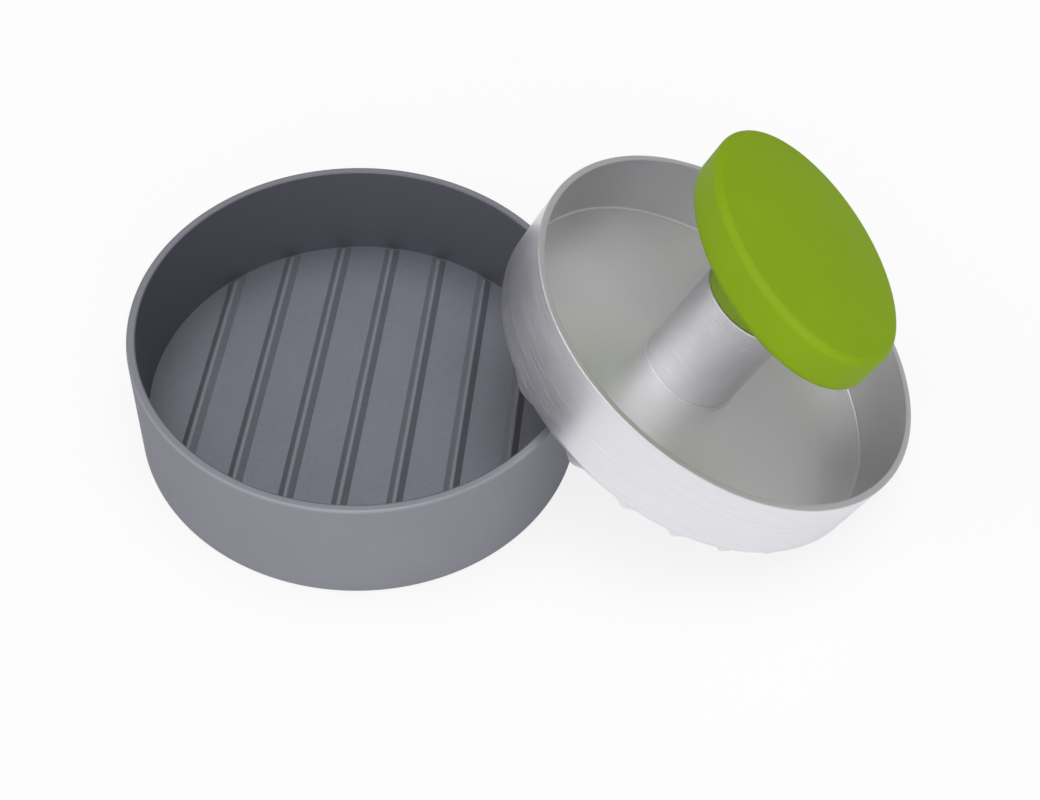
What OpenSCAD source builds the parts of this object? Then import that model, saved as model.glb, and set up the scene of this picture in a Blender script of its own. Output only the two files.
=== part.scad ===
// Patty press: a round mould pan with a ribbed floor, and a press made of a ribbed
// plate, a turned post and an oval knob. The press is put down leaning: its lower edge
// stands on the table and its underside lies on the pan's rim.
// Millimetres, +Z up. The origin is the centre of the pan's flat base, and the press
// leans on the +X side of the pan.

/* [Pan] */
// Outside diameter of the pan
pan_d = 120; // [110:1:130]
// Height of the pan
pan_h = 35; // [30:0.5:40]
// Thickness of the pan's wall
pan_wall = 2.4; // [2:0.1:3]
// Thickness of the pan's floor between its ribs
pan_floor = 5; // [3:0.1:6]
// Number of ribs on the pan's floor, one of them through the centre
pan_rib_count = 7; // [5:2:7]
// Angle between the pan's ribs and the Y axis, towards +X
pan_rib_turn = 6.2; // [0:0.1:20]
// Bevel on the edges of the pan's rim
rim_bevel = 0.5; // [0.2:0.1:0.8]
// Radius round the pan's base
pan_base_r = 0.5; // [0.3:0.1:2]

/* [Ribs] */
// Distance from one rib to the next, in the pan and under the plate
rib_pitch = 14.2; // [13.8:0.1:14.4]
// Height of a rib
rib_h = 1.6; // [1:0.1:2]
// Width of a rib at its foot
rib_foot = 4.2; // [3:0.1:5]
// Width of a rib at its crest
rib_crest = 0.9; // [0.6:0.1:1.5]

/* [Press plate] */
// Gap between the plate's collar and the pan's wall, all round
plate_gap = 0.4; // [0.3:0.1:1]
// Height of the plate's collar over its underside
collar_h = 21.8; // [16:0.1:24]
// Thickness of the plate's collar
collar_wall = 1.8; // [1.5:0.1:2.5]
// Thickness of the plate's floor
plate_floor = 1.6; // [1.5:0.1:2.5]
// Radius between the collar and the underside
plate_edge_r = 2; // [1:0.1:3]
// Number of ribs under the plate, half of them on each side of the centre
plate_rib_count = 8; // [6:2:8]
// Angle between the plate's ribs and the Y axis, towards +X
plate_rib_turn = 1.4; // [0:0.1:20]

/* [Post] */
// Outside diameter of the post
post_d = 27; // [24:0.5:30]
// Top of the post over the plate's underside
post_top = 31.7; // [26:0.1:36]
// Bore through the post
post_bore = 20.4; // [16:0.1:21]
// Bevel at the post's two ends
post_bevel = 0.5; // [0.2:0.1:0.8]

/* [Knob] */
// Length of the oval knob
knob_l = 74.6; // [66:0.2:80]
// Width of the oval knob
knob_w = 48; // [42:0.2:54]
// Underside of the knob over the plate's underside
knob_z = 43.4; // [40:0.2:46]
// Height of the knob's side, from its underside to the edge of its top
knob_side_h = 12.4; // [10:0.2:14]
// Rise of the knob's top from its edge to its middle
knob_crown = 2.2; // [1:0.1:4]
// Radius round the knob's edges
knob_edge_r = 2.2; // [1.5:0.1:3]
// Turn of the knob about the press's axis
knob_turn = 17; // [0:1:90]
// Diameter of the neck under the knob
neck_d = 26.4; // [22:0.2:27]
// Thickness of the soft grip over the knob's core
grip_wall = 2.4; // [1.8:0.1:3]

/* [Clamp screw] */
// Nominal diameter of the screw
screw_d = 6; // [5:1:6]
// Length of the screw, with its countersunk head
screw_l = 43; // [41:0.5:45]
// Diameter of the screw's head
screw_head_d = 11.4; // [10:0.1:12]
// Width across the flats of the head's hexagon socket
socket_af = 4; // [3:0.5:4]
// Depth of the head's hexagon socket
socket_depth = 2.2; // [1.5:0.1:2.5]

/* [Leaning press] */
// Lean of the press away from level
lean = 24; // [22:0.1:26]
// Gap left between the plate's underside and the pan's rim
rim_gap = 0.35; // [0.2:0.05:1]
// Sideways place of the press, along Y
press_y = -1.5; // [-6:0.5:6]

/* [Hidden] */
$fn = 96;

// A sliver that makes a cut run past the surface it opens.
past = 0.1;

// Pan
pan_r = pan_d / 2;
pan_inner_r = pan_r - pan_wall;
// The ribs stop short of the wall by this much at their foot, and slope in at 45 degrees.
rib_end_gap = 0.3;
pan_rib_foot_r = pan_inner_r - rib_end_gap;
pan_rib_crest_r = pan_rib_foot_r - rib_h;
// Ribs sink this far into the metal they stand on.
rib_root = 0.8;

// Press plate
plate_r = pan_inner_r - plate_gap;
collar_inner_r = plate_r - collar_wall;
collar_bevel = 0.3;
plate_fillet_r = 0.6;
// The plate's ribs run out over its rounded edge and end in a steep face.
plate_rib_foot_r = plate_r - 0.4 * plate_edge_r;
plate_rib_crest_r = plate_rib_foot_r - 0.45;
// Boss that the post is located by, inside its bore
fit_gap = 0.05;
boss_r = post_bore / 2 - fit_gap;
boss_h = 4;
boss_bevel = 0.6;
screw_hole_r = screw_d / 2 + 0.3;

// Knob
neck_r = neck_d / 2;
crown_steps = 6;
// Spigot under the neck, inside the post's bore
spigot_h = 3;
spigot_bevel = 0.5;

// Threaded insert in the knob's core
insert_r = 4.5;
insert_z = post_top + 1.5;
insert_l = 11;
insert_collar_r = 5.2;
insert_collar_h = 1.2;
thread_gap = 0.05;
// Room over the insert for the end of the screw
tip_room = 1.5;

// Clamp screw: 90 degree head, flush with the plate's underside
head_gap = 0.1;
head_rim = 0.3;
head_h = (screw_head_d - screw_d) / 2 + head_rim;
tip_bevel = 0.6;

// Where the leaning press lies
table_gap = 0.02;
press_z = (plate_r - plate_edge_r) * sin(lean) + plate_edge_r * (1 - cos(lean)) + table_gap;
press_x = pan_r - rim_bevel + ((pan_h - press_z) * cos(lean) + rim_gap) / sin(lean);

// Points of a quarter circle about (cx, cy), from angle a0 to a1.
function arc(cx, cy, r, a0, a1, steps = 8) =
    [for (i = [0:steps]) let (a = a0 + (a1 - a0) * i / steps) [cx + r * cos(a), cy + r * sin(a)]];

// Stands the press in its leaning place. Its own origin is the centre of its underside.
module leaning() {
    translate([press_x, press_y, press_z]) rotate([0, lean, 0]) children();
}

// One straight rib along Y with sloping sides, standing up from z = 0.
module rib(length) {
    rotate([90, 0, 0]) linear_extrude(length, center = true) polygon([
        [-rib_foot / 2 - rib_root * (rib_foot - rib_crest) / 2 / rib_h, -rib_root],
        [rib_foot / 2 + rib_root * (rib_foot - rib_crest) / 2 / rib_h, -rib_root],
        [rib_crest / 2, rib_h],
        [-rib_crest / 2, rib_h]
    ]);
}

// A row of parallel ribs, cut to a round outline whose edge slopes in towards the crests.
module rib_row(count, foot_r, crest_r) {
    slope = (foot_r - crest_r) / rib_h;
    intersection() {
        for (i = [0:count - 1])
            translate([(i - (count - 1) / 2) * rib_pitch, 0, 0]) rib(2 * foot_r + 2);
        translate([0, 0, -rib_root]) cylinder(
            r1 = foot_r + slope * rib_root,
            r2 = crest_r - slope * past,
            h = rib_root + rib_h + past
        );
    }
}

module pan() {
    color("DimGray") {
        rotate_extrude() polygon(concat(
            [[0, 0]],
            arc(pan_r - pan_base_r, pan_base_r, pan_base_r, -90, 0),
            [
                [pan_r, pan_h - rim_bevel],
                [pan_r - rim_bevel, pan_h],
                [pan_inner_r + rim_bevel, pan_h],
                [pan_inner_r, pan_h - rim_bevel],
                [pan_inner_r, pan_floor],
                [0, pan_floor]
            ]
        ));
        translate([0, 0, pan_floor]) rotate([0, 0, -pan_rib_turn])
            rib_row(pan_rib_count, pan_rib_foot_r, pan_rib_crest_r);
    }
}

// The plate with its collar and the boss that locates the post, turned about the press's axis.
module plate_shell() {
    rotate_extrude() polygon(concat(
        [[0, 0]],
        arc(plate_r - plate_edge_r, plate_edge_r, plate_edge_r, -90, 0),
        [
            [plate_r, collar_h - collar_bevel],
            [plate_r - collar_bevel, collar_h],
            [collar_inner_r + collar_bevel, collar_h],
            [collar_inner_r, collar_h - collar_bevel]
        ],
        arc(collar_inner_r - plate_fillet_r, plate_floor + plate_fillet_r, plate_fillet_r, 0, -90, 4),
        [
            [boss_r, plate_floor],
            [boss_r, plate_floor + boss_h - boss_bevel],
            [boss_r - boss_bevel, plate_floor + boss_h],
            [0, plate_floor + boss_h]
        ]
    ));
}

module press_dish() {
    color("LightGray") leaning() difference() {
        union() {
            plate_shell();
            mirror([0, 0, 1]) rotate([0, 0, -plate_rib_turn])
                rib_row(plate_rib_count, plate_rib_foot_r, plate_rib_crest_r);
        }
        translate([0, 0, -past]) cylinder(r = screw_hole_r, h = plate_floor + boss_h + 2 * past);
        // Countersink, with a short straight mouth that clears the two nearest ribs
        translate([0, 0, head_rim]) cylinder(
            r1 = screw_head_d / 2 + head_gap,
            r2 = screw_hole_r,
            h = screw_head_d / 2 + head_gap - screw_hole_r
        );
        translate([0, 0, -rib_h - past])
            cylinder(r = screw_head_d / 2 + head_gap, h = rib_h + head_rim + past);
    }
}

module post() {
    r = post_d / 2;
    color("Silver") leaning() rotate_extrude() polygon([
        [post_bore / 2, plate_floor],
        [r - post_bevel, plate_floor],
        [r, plate_floor + post_bevel],
        [r, post_top - post_bevel],
        [r - post_bevel, post_top],
        [post_bore / 2, post_top]
    ]);
}

// The oval form of the knob, taken in by inset on every side: a turned form squeezed across.
module oval_form(inset, edge_steps) {
    r = knob_l / 2 - inset;
    edge = knob_edge_r - inset / 2;
    low = knob_z + inset;
    high = knob_z + knob_side_h - inset;
    resize([knob_w - 2 * inset, knob_l - 2 * inset, 0]) rotate_extrude() polygon(concat(
        [[0, low]],
        arc(r - edge, low + edge, edge, -90, 0, edge_steps),
        arc(r - edge, high - edge, edge, 0, 80, edge_steps),
        [for (i = [1:crown_steps]) let (s = 1 - i / crown_steps)
            [(r - edge) * s, high + knob_crown * (1 - s * s)]]
    ));
}

module knob_core() {
    color("OliveDrab") leaning() difference() {
        union() {
            rotate([0, 0, knob_turn]) oval_form(grip_wall, 2, $fn = 64);
            translate([0, 0, post_top]) cylinder(r = neck_r, h = knob_z + grip_wall + 1 - post_top);
            translate([0, 0, post_top - spigot_h + spigot_bevel])
                cylinder(r = boss_r, h = spigot_h - spigot_bevel + past);
            translate([0, 0, post_top - spigot_h])
                cylinder(r1 = boss_r - spigot_bevel, r2 = boss_r, h = spigot_bevel);
        }
        // Seat of the insert, open to the spigot's end
        translate([0, 0, post_top - spigot_h - past])
            cylinder(r = insert_collar_r, h = insert_z + insert_collar_h - post_top + spigot_h + past);
        translate([0, 0, insert_z]) cylinder(r = insert_r, h = insert_l + tip_room);
    }
}

module knob_cover() {
    color("YellowGreen") leaning() difference() {
        rotate([0, 0, knob_turn]) oval_form(0, 6, $fn = 96);
        rotate([0, 0, knob_turn]) oval_form(grip_wall, 2, $fn = 64);
        translate([0, 0, knob_z - past]) cylinder(r = neck_r, h = grip_wall + 1);
    }
}

module knob_insert() {
    color("Gold") leaning() difference() {
        union() {
            translate([0, 0, insert_z]) cylinder(r = insert_r, h = insert_l);
            translate([0, 0, insert_z]) cylinder(r = insert_collar_r, h = insert_collar_h);
        }
        translate([0, 0, insert_z - past])
            cylinder(r = screw_d / 2 + thread_gap, h = insert_l + 2 * past);
    }
}

module clamp_screw() {
    shank_r = screw_d / 2;
    head_r = screw_head_d / 2;
    color("Gainsboro") leaning() difference() {
        rotate_extrude() polygon([
            [0, 0],
            [head_r, 0],
            [head_r, head_rim],
            [shank_r, head_h],
            [shank_r, screw_l - tip_bevel],
            [shank_r - tip_bevel, screw_l],
            [0, screw_l]
        ]);
        translate([0, 0, -past]) cylinder(d = socket_af / cos(30), h = socket_depth + past, $fn = 6);
    }
}

pan();
press_dish();
post();
knob_core();
knob_cover();
knob_insert();
clamp_screw();
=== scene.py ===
import math

import bmesh
import bpy
from mathutils import Matrix, Vector


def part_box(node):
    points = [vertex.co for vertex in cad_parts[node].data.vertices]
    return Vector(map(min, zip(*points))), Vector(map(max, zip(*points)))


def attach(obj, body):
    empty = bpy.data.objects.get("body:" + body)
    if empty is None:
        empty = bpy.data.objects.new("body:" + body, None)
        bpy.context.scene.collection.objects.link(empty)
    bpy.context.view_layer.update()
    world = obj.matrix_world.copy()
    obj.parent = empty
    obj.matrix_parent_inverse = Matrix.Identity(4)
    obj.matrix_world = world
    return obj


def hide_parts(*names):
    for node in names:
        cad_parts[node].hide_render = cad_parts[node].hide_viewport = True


# A patty press: a coated mould pan with a ribbed floor, and a bare aluminium press with a
# turned post and a soft lime knob, put down so that it leans on the pan's rim.
# Everything is in metres; MM turns the millimetres of the workshop drawing into metres.
MM = 0.001

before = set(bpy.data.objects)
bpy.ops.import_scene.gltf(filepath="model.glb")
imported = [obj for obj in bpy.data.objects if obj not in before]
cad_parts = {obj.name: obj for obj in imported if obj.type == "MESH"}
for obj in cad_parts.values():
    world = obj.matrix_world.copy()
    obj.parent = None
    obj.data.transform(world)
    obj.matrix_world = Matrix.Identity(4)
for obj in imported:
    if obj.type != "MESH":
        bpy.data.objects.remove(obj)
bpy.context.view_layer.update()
bpy.ops.object.select_all(action="DESELECT")

# ---------------------------------------------------------------- sizes

# Sides of the turned forms that show, so that their outlines stay round close up, and of the
# cutters and inner forms
SIDES = 192
BORE_SIDES = 96
INNER_SIDES = 128

# How far a cutting shape runs past what it cuts, and how near a point is to be on a line
cut_spare = 1 * MM
near = 0.01 * MM

# Pan
pan_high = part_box("pan")[1]
pan_radius = pan_high.y
pan_height = pan_high.z
pan_wall = 2.4 * MM
pan_floor = 5 * MM
pan_base_round = 0.5 * MM
pan_rim_round = 0.75 * MM
pan_rim_inner_round = 0.3 * MM
pan_inner_radius = pan_radius - pan_wall
pan_rib_count = 7
pan_rib_turn = math.radians(6.2)
pan_rib_foot_radius = pan_inner_radius - 0.3 * MM
pan_rib_crest_radius = pan_inner_radius - 1.9 * MM

# Ribs, the same in the pan and under the plate
rib_pitch = 14.2 * MM
rib_height = 1.6 * MM
rib_foot = 4.2 * MM
rib_crest = 0.9 * MM
rib_root = 0.8 * MM
rib_round = 0.2 * MM

# Press plate: its collar, the boss inside the post, the bead round the post's foot, and the
# screw's hole
plate_radius = pan_inner_radius - 0.4 * MM
plate_floor = 1.6 * MM
plate_edge_round = 2 * MM
plate_rib_count = 8
plate_rib_turn = math.radians(1.4)
plate_rib_foot_radius = plate_radius - 0.8 * MM
plate_rib_crest_radius = plate_radius - 1.25 * MM
collar_height = 21.8 * MM
collar_wall = 1.8 * MM
collar_round = 0.3 * MM
collar_inner_round = 0.12 * MM
collar_corner_round = 0.6 * MM
collar_inner_radius = plate_radius - collar_wall
boss_radius = 10.15 * MM
boss_height = 4 * MM
bead_gap = 0.02 * MM
bead_width = 0.5 * MM
bead_height = 0.3 * MM
bead_round = 0.25 * MM
screw_hole_radius = 3.3 * MM
countersink_radius = 5.8 * MM
countersink_mouth = 0.3 * MM

# Post
post_radius = 13.5 * MM
post_bore = 10.2 * MM
post_top = 31.7 * MM
post_round = 0.5 * MM
post_foot_round = 0.3 * MM

# Knob
knob_length = 74.6 * MM
knob_width = 48 * MM
knob_under = 43.4 * MM
knob_side = 12.4 * MM
knob_crown = 2.2 * MM
knob_edge_round = 2.2 * MM
knob_turn = math.radians(17)
crown_steps = 12
# The crown starts this many edge rounds in from the side, with this share of its rise at once
crown_shoulder = 1.3
crown_start = 0.02
grip_wall = 2.4 * MM
neck_radius = 13.2 * MM
neck_round = 0.6 * MM
neck_ease = 0.05 * MM
spigot_length = 3 * MM
insert_radius = 4.5 * MM
insert_collar_radius = 5.2 * MM
insert_start = post_top + 1.5 * MM
insert_length = 11 * MM
insert_collar_height = 1.2 * MM
insert_room = 0.3 * MM

# The press leans towards +X. Its own origin is the middle of its underside, found from the
# middle of the post, which is half way between the post's two ends along the leaning axis.
lean = math.radians(24)
press_axis = Vector((math.sin(lean), 0, math.cos(lean)))
post_low, post_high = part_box("post")
press_origin = (post_low + post_high) / 2 - press_axis * (plate_floor + post_top) / 2


# ---------------------------------------------------------------- modelling helpers

def begin(name):
    """Names the primitive that was just added and opens it for editing with nothing selected."""
    piece = bpy.context.object
    piece.name = name
    piece.data.name = name
    bpy.ops.object.mode_set(mode="EDIT")
    bpy.ops.mesh.select_all(action="DESELECT")
    return piece


def pick(piece, kind, test):
    """Selects only the faces ("FACE") or edges ("EDGE") that pass the test."""
    bpy.ops.mesh.select_all(action="DESELECT")
    bpy.ops.mesh.select_mode(type=kind)
    mesh = bmesh.from_edit_mesh(piece.data)
    for item in mesh.faces if kind == "FACE" else mesh.edges:
        if test(item):
            item.select_set(True)
    bmesh.update_edit_mesh(piece.data)


def facing(direction, height):
    """A test for faces that look along direction at a given height."""
    def test(face):
        middle = face.calc_center_median()
        return face.normal.z * direction > 0.9 and abs(middle.z - height) < near
    return test


def ring(height, radius):
    """A test for the edges of a circle about the Z axis."""
    def on_ring(point):
        off_line = abs(math.hypot(point.x, point.y) - radius)
        return abs(point.z - height) < near and off_line < 2 * near
    return lambda edge: all(on_ring(corner.co) for corner in edge.verts)


def level(height):
    """A test for edges that lie flat at a given height."""
    return lambda edge: all(abs(corner.co.z - height) < near for corner in edge.verts)


def round_edges(piece, test, radius, steps):
    """Rounds the edges that pass the test, in so many steps."""
    pick(piece, "EDGE", test)
    bpy.ops.mesh.bevel(offset=radius, segments=steps, profile=0.5, affect="EDGES")


def push(distance):
    """Extrudes the selected faces along Z."""
    bpy.ops.mesh.extrude_region_move(TRANSFORM_OT_translate={"value": (0, 0, distance)})


def turned(name, radius, low, high, sides=SIDES):
    """A closed cylinder from one height to another, open for editing."""
    bpy.ops.mesh.primitive_cylinder_add(
        vertices=sides, radius=radius, depth=high - low, location=(0, 0, (low + high) / 2))
    bpy.ops.object.transform_apply(location=True, rotation=True, scale=True)
    return begin(name)


def closed():
    """Leaves edit mode and the selection."""
    bpy.ops.object.mode_set(mode="OBJECT")
    bpy.ops.object.select_all(action="DESELECT")


def only(piece):
    """Makes a piece the one that is selected and active."""
    bpy.ops.object.select_all(action="DESELECT")
    piece.select_set(True)
    bpy.context.view_layer.objects.active = piece


def combine(piece, tool, operation):
    """Applies a boolean of tool to piece, and removes the tool."""
    only(piece)
    modifier = piece.modifiers.new("Boolean", "BOOLEAN")
    modifier.object = tool
    modifier.operation = operation
    modifier.solver = "EXACT"
    bpy.ops.object.modifier_apply(modifier=modifier.name)
    bpy.data.objects.remove(tool)


def place(piece, turn=(0, 0, 0), shift=(0, 0, 0)):
    """Turns a piece about the origin, moves it, and keeps its place in its mesh."""
    only(piece)
    piece.rotation_euler = turn
    piece.location = shift
    bpy.ops.object.transform_apply(location=True, rotation=True, scale=True)


def lay_down(piece):
    """Moves a piece of the upright press to where the press leans on the pan."""
    place(piece, turn=(0, lean, 0), shift=press_origin)


def smooth(piece, sharp_from=30):
    """Smooth shading, with sharp edges where two faces meet at more than so many degrees."""
    only(piece)
    bpy.ops.object.shade_smooth_by_angle(angle=math.radians(sharp_from))
    weighted = piece.modifiers.new("Weighted", "WEIGHTED_NORMAL")
    weighted.weight = 100
    weighted.keep_sharp = True
    bpy.ops.object.modifier_apply(modifier=weighted.name)


def finish_piece(piece, body, nodes, material):
    """Shades a piece, gives it its finish, and lets it ride in place of its CAD nodes."""
    smooth(piece)
    piece.data.materials.clear()
    piece.data.materials.append(material)
    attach(piece, body)
    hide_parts(*nodes)
    bpy.ops.object.select_all(action="DESELECT")


# ---------------------------------------------------------------- pieces

def rib_row(count, foot_radius, crest_radius):
    """Parallel ribs along Y standing up from z = 0, cut to a round outline that slopes inwards."""
    root_width = rib_foot + rib_root * (rib_foot - rib_crest) / rib_height
    bpy.ops.mesh.primitive_cube_add(
        size=1, location=(0, 0, (rib_height - rib_root) / 2),
        scale=(root_width, 2 * (foot_radius + cut_spare), rib_height + rib_root))
    bpy.ops.object.transform_apply(location=True, rotation=True, scale=True)
    rib = begin("rib")
    pick(rib, "FACE", facing(1, rib_height))
    bpy.ops.transform.resize(value=(rib_crest / root_width, 1, 1), center_override=(0, 0, 0))
    on_top = level(rib_height)
    round_edges(rib, lambda edge: on_top(edge)
                and abs(edge.verts[0].co.x - edge.verts[1].co.x) < near, rib_round, 3)
    closed()

    row = []
    for i in range(count):
        copy = rib.copy()
        copy.data = rib.data.copy()
        copy.location.x = (i - (count - 1) / 2) * rib_pitch
        bpy.context.scene.collection.objects.link(copy)
        row.append(copy)
    bpy.data.objects.remove(rib)
    for copy in row:
        copy.select_set(True)
    bpy.context.view_layer.objects.active = row[0]
    bpy.ops.object.transform_apply(location=True, rotation=True, scale=True)
    bpy.ops.object.join()
    ribs = bpy.context.object

    reach = rib_height + 2 * rib_root
    slope = (foot_radius - crest_radius) / rib_height
    bpy.ops.mesh.primitive_cone_add(
        vertices=SIDES, radius1=foot_radius + slope * rib_root,
        radius2=crest_radius - slope * rib_root, depth=reach,
        location=(0, 0, reach / 2 - rib_root))
    bpy.ops.object.transform_apply(location=True, rotation=True, scale=True)
    combine(ribs, bpy.context.object, "INTERSECT")
    return ribs


def make_pan():
    """The mould pan: one turned shell with seven ribs on its floor."""
    pan = turned("mould_pan", pan_radius, 0, pan_height)
    pick(pan, "FACE", facing(1, pan_height))
    bpy.ops.mesh.inset(thickness=pan_wall)
    push(pan_floor - pan_height)
    round_edges(pan, ring(0, pan_radius), pan_base_round, 6)
    round_edges(pan, ring(pan_height, pan_radius), pan_rim_round, 4)
    round_edges(pan, ring(pan_height, pan_inner_radius), pan_rim_inner_round, 3)
    closed()

    ribs = rib_row(pan_rib_count, pan_rib_foot_radius, pan_rib_crest_radius)
    place(ribs, turn=(0, 0, -pan_rib_turn), shift=(0, 0, pan_floor))
    combine(pan, ribs, "UNION")
    return pan


def make_plate():
    """The press plate with its collar, the boss and the fine bead round the post's foot, the
    countersunk hole and the ribs beneath."""
    plate = turned("press_plate", plate_radius, 0, collar_height)
    pick(plate, "FACE", facing(1, collar_height))
    bpy.ops.mesh.inset(thickness=collar_wall)
    push(plate_floor - collar_height)
    bead_inner_radius = post_radius + bead_gap
    bead_radius = bead_inner_radius + bead_width
    bpy.ops.mesh.inset(thickness=collar_inner_radius - bead_radius)
    push(bead_height)
    bpy.ops.mesh.inset(thickness=bead_width)
    push(-bead_height)
    bpy.ops.mesh.inset(thickness=bead_inner_radius - boss_radius)
    push(boss_height)
    round_edges(plate, ring(plate_floor + bead_height, bead_radius), bead_round, 3)
    round_edges(plate, ring(0, plate_radius), plate_edge_round, 8)
    round_edges(plate, ring(collar_height, plate_radius), collar_round, 3)
    round_edges(plate, ring(collar_height, collar_inner_radius), collar_inner_round, 2)
    round_edges(plate, ring(plate_floor, collar_inner_radius), collar_corner_round, 4)
    closed()

    ribs = rib_row(plate_rib_count, plate_rib_foot_radius, plate_rib_crest_radius)
    place(ribs, turn=(math.pi, 0, -plate_rib_turn))
    combine(plate, ribs, "UNION")

    # The screw's way through: a straight mouth, a 90 degree countersink and a clear hole
    bore = turned("bore", countersink_radius, -2 * rib_height, countersink_mouth, BORE_SIDES)
    pick(bore, "FACE", facing(1, countersink_mouth))
    push(countersink_radius - screw_hole_radius)
    ratio = screw_hole_radius / countersink_radius
    bpy.ops.transform.resize(value=(ratio, ratio, 1), center_override=(0, 0, 0))
    push(plate_floor + boss_height)
    closed()
    combine(plate, bore, "DIFFERENCE")
    return plate


def make_post():
    """The turned post: a tube with both its ends eased, the foot only a little."""
    post = turned("turned_post", post_radius, plate_floor, post_top)
    pick(post, "FACE", lambda face: abs(face.normal.z) > 0.9)
    bpy.ops.mesh.inset(thickness=post_radius - post_bore)
    bpy.ops.mesh.bridge_edge_loops()
    round_edges(post, ring(post_top, post_radius), post_round, 4)
    round_edges(post, ring(plate_floor, post_radius), post_foot_round, 2)
    closed()
    return post


def oval(name, inset, steps, sides):
    """The knob's oval form taken in by inset: a round slab, squeezed, crowned and rounded."""
    low = knob_under + inset
    high = knob_under + knob_side - inset
    radius = knob_length / 2 - inset
    form = turned(name, radius, low, high, sides)
    bpy.ops.mesh.select_all(action="SELECT")
    squeeze = (knob_width / 2 - inset) / radius
    bpy.ops.transform.resize(value=(squeeze, 1, 1), center_override=(0, 0, 0))
    pick(form, "FACE", facing(1, high))
    edge = knob_edge_round - inset / 2
    share = 1 - edge * crown_shoulder / radius
    push(knob_crown * crown_start)
    bpy.ops.transform.resize(value=(share, share, 1), center_override=(0, 0, 0))
    for i in range(1, crown_steps):
        before = 1 - (i - 1) / crown_steps
        now = 1 - i / crown_steps
        push(knob_crown * (before * before - now * now) * (1 - crown_start))
        bpy.ops.transform.resize(value=(now / before, now / before, 1), center_override=(0, 0, 0))
    for height in (high, low):
        round_edges(form, level(height), edge, steps)
    closed()
    return form


def make_core():
    """The knob's hard core with its neck, its spigot and the seat of the threaded insert."""
    core = oval("knob_neck", grip_wall, 4, INNER_SIDES)
    place(core, turn=(0, 0, knob_turn))
    neck = turned("neck", neck_radius, post_top, knob_under + grip_wall + cut_spare)
    round_edges(neck, ring(post_top, neck_radius), neck_round, 3)
    pick(neck, "FACE", facing(-1, post_top))
    bpy.ops.mesh.inset(thickness=neck_radius - neck_round - boss_radius)
    push(-spigot_length)
    closed()
    combine(core, neck, "UNION")
    seat = turned("seat", insert_collar_radius, post_top - spigot_length - cut_spare,
                  insert_start + insert_collar_height, BORE_SIDES)
    pick(seat, "FACE", facing(1, insert_start + insert_collar_height))
    bpy.ops.mesh.inset(thickness=insert_collar_radius - insert_radius)
    push(insert_length + insert_room)
    closed()
    combine(core, seat, "DIFFERENCE")
    return core


def make_grip():
    """The soft cover over the core, open round the neck."""
    grip = oval("knob_grip", 0, 8, SIDES)
    hollow = oval("hollow", grip_wall, 4, INNER_SIDES)
    combine(grip, hollow, "DIFFERENCE")
    place(grip, turn=(0, 0, knob_turn))
    opening = turned("opening", neck_radius + neck_ease, knob_under - cut_spare,
                     knob_under + grip_wall + cut_spare)
    closed()
    combine(grip, opening, "DIFFERENCE")
    return grip


# ---------------------------------------------------------------- finishes

class Wire:
    """A socket in a finish. Arithmetic on it adds the Math nodes that work it out."""

    def __init__(self, finish, socket):
        self.finish = finish
        self.socket = socket

    def maths(self, operation, *values):
        return self.finish.node("ShaderNodeMath", {"operation": operation}, dict(enumerate(values)))

    def __add__(self, other):
        return self.maths("ADD", self, other)

    def __sub__(self, other):
        return self.maths("SUBTRACT", self, other)

    def __mul__(self, other):
        return self.maths("MULTIPLY", self, other)

    def __pow__(self, other):
        return self.maths("POWER", self, other)

    def __rsub__(self, other):
        return self.maths("SUBTRACT", other, self)

    __radd__ = __add__
    __rmul__ = __mul__

    def ramp(self, start, end):
        """0 below start, 1 above end, and a smooth rise between them."""
        return self.finish.node(
            "ShaderNodeMapRange", {"interpolation_type": "SMOOTHSTEP"},
            {"Value": self, "From Min": start, "From Max": end})

    def band(self, low, high, soft):
        """1 between low and high, 0 outside, with soft edges."""
        return self.ramp(low - soft, low + soft) * (1 - self.ramp(high - soft, high + soft))


# Fine turning marks in a millimetre, and how little they wander round the work
turning_pitch = 60
turning_drift = 0.03


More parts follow.
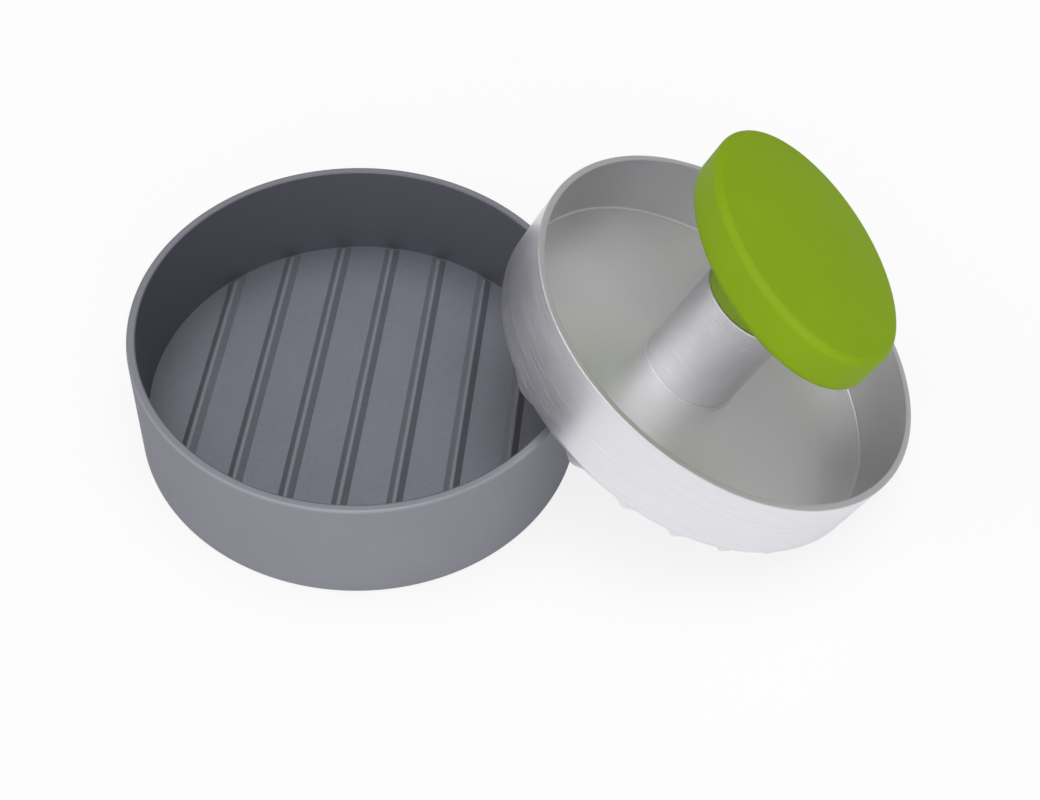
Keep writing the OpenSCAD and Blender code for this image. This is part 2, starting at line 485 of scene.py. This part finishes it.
class Finish:
    """A procedural material, or the world, while it is being made."""

    def __init__(self, block):
        block.use_nodes = True
        self.block = block
        self.tree = block.node_tree
        self.tree.nodes.clear()

    def node(self, kind, settings=None, inputs=None, out=0):
        """Adds a node: its settings first, then the values or wires of its sockets.
        Gives the output named by out, or several for a tuple of names."""
        made = self.tree.nodes.new(kind)
        for name, value in (settings or {}).items():
            setattr(made, name, value)
        for name, value in (inputs or {}).items():
            if isinstance(value, Wire):
                self.tree.links.new(value.socket, made.inputs[name])
            else:
                made.inputs[name].default_value = value
        if isinstance(out, tuple):
            return [Wire(self, made.outputs[name]) for name in out]
        return Wire(self, made.outputs[out]) if made.outputs else None

    def tint(self, factor, first, second):
        """A colour between two others."""
        return self.node("ShaderNodeMix", {"data_type": "RGBA"},
                         {0: factor, 6: first, 7: second}, out=2)

    def upright(self, origin=(0, 0, 0), leaning=0):
        """Millimetres in a piece's own upright place, wherever the piece stands."""
        here = self.node("ShaderNodeTexCoord", out="Object")
        return self.node("ShaderNodeMapping", {"vector_type": "TEXTURE"}, {
            "Vector": here, "Location": origin, "Rotation": (0, leaning, 0),
            "Scale": (MM, MM, MM)})

    def axes(self, point):
        """The three coordinates of a point, and its distance from the Z axis."""
        x, y, z = self.node("ShaderNodeSeparateXYZ", inputs={0: point}, out=(0, 1, 2))
        return x, y, z, (x * x + y * y) ** 0.5

    def noise(self, point, scale, detail=2, roughness=0.5):
        """Noise from 0 to 1, with so many lumps per unit of the point."""
        return self.node("ShaderNodeTexNoise", inputs={
            "Vector": point, "Scale": scale, "Detail": detail, "Roughness": roughness})

    def stretched(self, point, along):
        """Noise with a different number of lumps per unit along each axis."""
        return self.noise(self.vector("MULTIPLY", point, along), 1)

    def bump(self, height, depth, normal=None):
        """A bumped normal, where a height of 1 stands so many metres proud."""
        inputs = {"Height": height, "Distance": depth}
        if normal:
            inputs["Normal"] = normal
        return self.node("ShaderNodeBump", inputs=inputs)

    def vector(self, operation, *values):
        """A Vector Math node on these vectors."""
        return self.node("ShaderNodeVectorMath", {"operation": operation}, dict(enumerate(values)))

    def scaled(self, vector, factor):
        """A vector made longer or shorter by a factor."""
        return self.node("ShaderNodeVectorMath", {"operation": "SCALE"},
                         {"Vector": vector, "Scale": factor})

    def turned_normal(self, point, spread, leaning=0):
        """The surface's normal, tipped to and fro across the fine marks that turning about the
        Z axis leaves. Spread says how far it tips."""
        x, y, z, radius = self.axes(point)
        around = self.node("ShaderNodeCombineXYZ", inputs={0: 0 - y, 1: x})
        around = self.node("ShaderNodeVectorRotate", {"rotation_type": "Y_AXIS"},
                           {"Vector": self.vector("NORMALIZE", around), "Angle": leaning})
        normal = self.node("ShaderNodeNewGeometry", out="Normal")
        across = self.vector("CROSS_PRODUCT", around, normal)
        place = self.node("ShaderNodeCombineXYZ", inputs={
            0: (z + radius) * turning_pitch, 1: x * turning_drift, 2: y * turning_drift})
        tip = (self.noise(place, 1, 1) - 0.5) * spread
        return self.vector("NORMALIZE", self.vector("ADD", normal, self.scaled(across, tip)))

    def surface(self, **sockets):
        """The shader with these sockets, and the output."""
        named = {name.replace("_", " "): value for name, value in sockets.items()}
        shader = self.node("ShaderNodeBsdfPrincipled", inputs=named)
        self.node("ShaderNodeOutputMaterial", inputs={"Surface": shader})
        return self.block


def new_finish(name):
    return Finish(bpy.data.materials.new(name))


def satin_coat():
    """Dark grey satin coat on the pan: fine blasted grain; edges and rib crests are paler, partly
    as wear and partly as painted highlight; painted shade darkens the inner wall and painted light
    brightens the outer wall.
    """
    f = new_finish("satin_grey_coat")
    point = f.upright()
    z, radius = f.axes(point)[2:]
    floor = pan_floor / MM
    ribs_top = (pan_floor + rib_height) / MM
    top = pan_height / MM
    wall_face = pan_inner_radius / MM
    skin = pan_radius / MM
    grain = f.noise(point, 1.7, 4, 0.65)
    clouds = f.noise(point, 0.06, 2)
    crest = z.band(ribs_top - 0.2, ribs_top + 1, 0.1)
    crest = crest * (1 - radius.ramp(wall_face - 1, wall_face - 0.5))
    rim = z.ramp(top - 0.9, top - 0.4) * radius.ramp(skin - 0.9, skin - 0.5)
    wear_and_highlight = (0.6 * crest + 0.35 * rim) * (0.45 + 0.55 * f.noise(point, 0.5, 3))
    body = f.tint(clouds, (0.221, 0.222, 0.267, 1), (0.257, 0.258, 0.307, 1))
    outer_wall = radius.ramp(wall_face + 0.3, wall_face + 0.6)
    inner_wall = radius.ramp(wall_face - 0.3, wall_face - 0.1) - outer_wall
    inner_wall = inner_wall * z.ramp(floor, floor + 0.5)
    # Painted shade: the pan's inner wall is given a darker colour.
    body = f.tint(inner_wall, body, (0.18, 0.18, 0.213, 1))
    # Painted light: the pan's outer wall is given a lighter colour.
    outside = f.tint(clouds, (0.275, 0.276, 0.315, 1), (0.310, 0.311, 0.351, 1))
    body = f.tint(outer_wall, body, outside)
    speckle = grain.ramp(0.35, 0.75) * (0.5 - 0.35 * inner_wall)
    body = f.tint(speckle, body, (0.31, 0.31, 0.345, 1))
    # Paler colour on the rib crests and the rim: partly wear of the thin coat, partly painted
    # highlight.
    colour = f.tint(wear_and_highlight * 0.6, body, (0.34, 0.34, 0.36, 1))
    return f.surface(
        Base_Color=colour,
        Metallic=0.55,
        Roughness=0.44 + 0.12 * grain - 0.06 * wear_and_highlight,
        Specular_Tint=(0.2, 0.2, 0.22, 1),
        Specular_IOR_Level=0.2,
        Normal=f.bump(grain * (1 - 0.7 * (inner_wall + outer_wall)), 0.05 * MM))


def plate_aluminium():
    """Bare aluminium: turned lines round the collar, a satin cast floor and a duller rim; the rim
    and the collar's inner wall are darkened as painted shade.
    """
    f = new_finish("turned_and_cast_aluminium")
    point = f.upright(press_origin, lean)
    z, radius = f.axes(point)[2:]
    wall_face = collar_inner_radius / MM
    skin = plate_radius / MM
    top = collar_height / MM
    inside = 1 - radius.ramp(wall_face - 0.4, wall_face - 0.1)
    inner_wall = radius.band(wall_face - 0.2, wall_face + 0.3, 0.1)
    outer = radius.ramp(skin - 0.6, skin - 0.3)
    rim = z.ramp(top - 0.4, top - 0.1)
    lines = f.stretched(point, (0.05, 0.05, 3))
    fine_lines = f.stretched(point, (0.1, 0.1, 7))
    strokes = f.stretched(point, (1, 1, 3.5))
    brushed = lines.ramp(0.35, 0.65) * 0.5 + fine_lines.ramp(0.35, 0.65) * 0.5
    grain = f.noise(point, 3.2, 3, 0.6)
    clouds = f.noise(point, 0.07, 3)
    height = (brushed * 0.5 + strokes * 1.2) * outer + grain * (1 - outer) * 0.4
    colour = f.tint(clouds, (0.785, 0.775, 0.795, 1), (0.855, 0.845, 0.86, 1))
    # Painted shade: the collar's inner wall is given a darker colour.
    colour = f.tint(inner_wall, colour, (0.60, 0.595, 0.61, 1))
    turned_skin = f.tint(brushed, (0.75, 0.75, 0.79, 1), (0.83, 0.83, 0.87, 1))
    colour = f.tint(outer, colour, turned_skin)
    marks = f.turned_normal(point, 0.12 + 0.1 * outer + 0.55 * inside, lean)
    return f.surface(
        # Painted shade: the rim's colour is darker; its added roughness below is what makes it
        # duller.
        Base_Color=f.tint(rim * 0.7, colour, (0.64, 0.63, 0.65, 1)),
        Metallic=1 - 0.17 * inside,
        Roughness=0.28 + 0.06 * clouds + 0.08 * inside + 0.25 * rim + 0.08 * brushed * outer,
        Normal=f.bump(height, 0.012 * MM, marks))


def post_aluminium():
    """Finely turned aluminium on the post."""
    f = new_finish("turned_aluminium")
    point = f.upright(press_origin, lean)
    lines = f.stretched(point, (0.05, 0.05, 3))
    fine_lines = f.stretched(point, (0.15, 0.15, 8))
    clouds = f.noise(point, 0.15, 2)
    turning = 0.55 * lines + 0.45 * fine_lines
    return f.surface(
        Base_Color=f.tint(clouds, (0.82, 0.82, 0.855, 1), (0.88, 0.88, 0.915, 1)),
        Metallic=1.0,
        Roughness=0.38 + 0.08 * clouds + 0.06 * fine_lines,
        Normal=f.bump(turning, 0.006 * MM, f.turned_normal(point, 1.8, lean)))


def soft_lime():
    """Matt soft-touch lime plastic of the grip."""
    f = new_finish("soft_touch_lime")
    point = f.upright(press_origin, lean)
    pores = f.noise(point, 5, 2, 0.6)
    clouds = f.noise(point, 0.08, 3)
    colour = f.tint(clouds, (0.215, 0.345, 0.003, 1), (0.24, 0.38, 0.005, 1))
    return f.surface(
        Base_Color=colour,
        Roughness=0.5 + 0.12 * pores,
        Specular_IOR_Level=0.18,
        Normal=f.bump(pores, 0.01 * MM))


def neck_lime():
    """Hard lime plastic of the core, a little darker and glossier than the grip."""
    f = new_finish("moulded_lime_plastic")
    point = f.upright(press_origin, lean)
    grain = f.noise(point, 2, 3)
    colour = f.tint(grain, (0.215, 0.35, 0.012, 1), (0.25, 0.395, 0.015, 1))
    return f.surface(
        Base_Color=colour,
        Roughness=0.42 + 0.1 * grain,
        Normal=f.bump(grain, 0.008 * MM))


def insert_brass():
    """Brass of the threaded insert."""
    f = new_finish("turned_brass")
    point = f.upright(press_origin, lean)
    lines = f.stretched(point, (0.3, 0.3, 8))
    tarnish = f.noise(point, 0.6, 3)
    return f.surface(
        Base_Color=f.tint(tarnish, (0.58, 0.38, 0.13, 1), (0.75, 0.54, 0.22, 1)),
        Metallic=1.0,
        Roughness=0.3 + 0.15 * tarnish,
        Normal=f.bump(lines, 0.015 * MM))


def screw_steel():
    """Plated steel of the clamp screw."""
    f = new_finish("plated_steel")
    point = f.upright(press_origin, lean)
    lines = f.stretched(point, (0.5, 0.5, 10))
    spots = f.noise(point, 1.5, 4)
    return f.surface(
        Base_Color=f.tint(spots, (0.50, 0.50, 0.49, 1), (0.66, 0.66, 0.65, 1)),
        Metallic=1.0,
        Roughness=0.28 + 0.18 * spots,
        Normal=f.bump(lines, 0.01 * MM))


# ---------------------------------------------------------------- studio

# Light from all round, and round soft lights in the world: azimuth, elevation and strength.
# Each is full as far as width - blur from its middle, and gone at width + blur, in degrees.
ambient = 0.1
light_width = 24
light_blur = 14
soft_lights = (
    (0, 88, 2.3),
    (0, 55, 0.25),
    (60, 55, 0.2),
    (-60, 55, 0.2),
    (0, 20, 1.15),
    (45, 20, 0.38),
    (135, 20, 0.32),
    (90, 20, 0.12),
    (180, 55, 0.03),
    (-120, 55, 0.06),
    (-90, 20, 1.1),
    (-45, 20, 0.65),
)

# The camera's direction and roll in degrees, what it looks at, and its lens and sensor
view_azimuth = -4.599
view_elevation = 50.851
view_roll = 5.402
view_aim = Vector((43.86, 1.4, 4.0)) * MM
view_distance = 446.22 * MM
lens_length = 55.44
sensor_width = 36
nearest_seen = 10 * MM

# The floor, and how much of plain white a ray sees in it instead of its lit paper
floor_size = 6
floor_drop = 0.2 * MM
paper_grey = 0.9
white_to_camera = 0.8
white_to_metal = 0.5


def toward(azimuth, elevation):
    """The direction of something seen so many degrees round and up from the front."""
    a = math.radians(azimuth)
    e = math.radians(elevation)
    return Vector((math.sin(a) * math.cos(e), -math.cos(a) * math.cos(e), math.sin(e)))


def set_camera():
    """A high three-quarter view from the front, tipped a little to one side."""
    roll = math.radians(view_roll)
    back = toward(view_azimuth, view_elevation)
    side = (-back).cross(Vector((0, 0, 1))).normalized()
    up = side.cross(-back)
    turned_side = math.cos(roll) * side + math.sin(roll) * up
    turned_up = -math.sin(roll) * side + math.cos(roll) * up
    data = bpy.data.cameras.new("camera")
    data.sensor_width = sensor_width
    data.lens = lens_length
    data.clip_start = nearest_seen
    camera = bpy.data.objects.new("camera", data)
    bpy.context.scene.collection.objects.link(camera)
    axes = Matrix((turned_side, turned_up, back)).transposed().to_4x4()
    camera.matrix_world = Matrix.Translation(view_aim + back * view_distance) @ axes
    bpy.context.scene.camera = camera


def set_world():
    """A plain studio that the camera sees as white, with the soft lights in it: the strongest
    is overhead, and the next two are low in front and low on the left."""
    world = bpy.data.worlds.new("studio")
    bpy.context.scene.world = world
    f = Finish(world)
    direction = f.node("ShaderNodeTexCoord", out="Generated")
    seen = f.node("ShaderNodeLightPath", out="Is Camera Ray")
    glow = ambient
    outer_edge = math.cos(math.radians(light_width + light_blur))
    inner_edge = math.cos(math.radians(light_width - light_blur))
    for azimuth, elevation, strength in soft_lights:
        inside = f.node("ShaderNodeVectorMath", {"operation": "DOT_PRODUCT"},
                        {0: direction, 1: toward(azimuth, elevation)}, out="Value")
        glow = inside.ramp(outer_edge, inner_edge) * strength + glow
    background = f.node("ShaderNodeBackground", inputs={
        "Color": (1, 1, 1, 1), "Strength": seen + (1 - seen) * glow})
    f.node("ShaderNodeOutputWorld", inputs={"Surface": background})


def set_floor():
    """A pale floor that keeps the object's soft shadow."""
    bpy.ops.mesh.primitive_plane_add(size=floor_size, location=(0, 0, -floor_drop))
    bpy.ops.object.transform_apply(location=True, rotation=True, scale=True)
    floor = bpy.context.object
    floor.name = "studio_floor"
    f = new_finish("studio_paper")
    seen, mirrored, through = f.node(
        "ShaderNodeLightPath", out=("Is Camera Ray", "Is Glossy Ray", "Is Transmission Ray"))
    plain = seen * white_to_camera + mirrored * white_to_metal + through * white_to_metal
    paper = f.node("ShaderNodeBsdfDiffuse",
                   inputs={"Color": (paper_grey, paper_grey, paper_grey, 1)})
    glow = f.node("ShaderNodeEmission", inputs={"Color": (1, 1, 1, 1), "Strength": 1.0})
    mixed = f.node("ShaderNodeMixShader", inputs={0: plain, 1: paper, 2: glow})
    f.node("ShaderNodeOutputMaterial", inputs={"Surface": mixed})
    floor.data.materials.append(f.block)
    bpy.ops.object.select_all(action="DESELECT")


# ---------------------------------------------------------------- assembly

set_camera()
set_world()
set_floor()
bpy.context.scene.view_settings.view_transform = "Standard"

finish_piece(make_pan(), "pan_body", ["pan"], satin_coat())

plate = make_plate()
lay_down(plate)
finish_piece(plate, "press", ["press_dish"], plate_aluminium())

post = make_post()
lay_down(post)
finish_piece(post, "press", ["post"], post_aluminium())

core = make_core()
lay_down(core)
finish_piece(core, "press", ["knob_core"], neck_lime())

grip = make_grip()
lay_down(grip)
finish_piece(grip, "press", ["knob_cover"], soft_lime())

for node, material in (("knob_insert", insert_brass()), ("clamp_screw", screw_steel())):
    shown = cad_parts[node]
    shown.data.materials.clear()
    shown.data.materials.append(material)
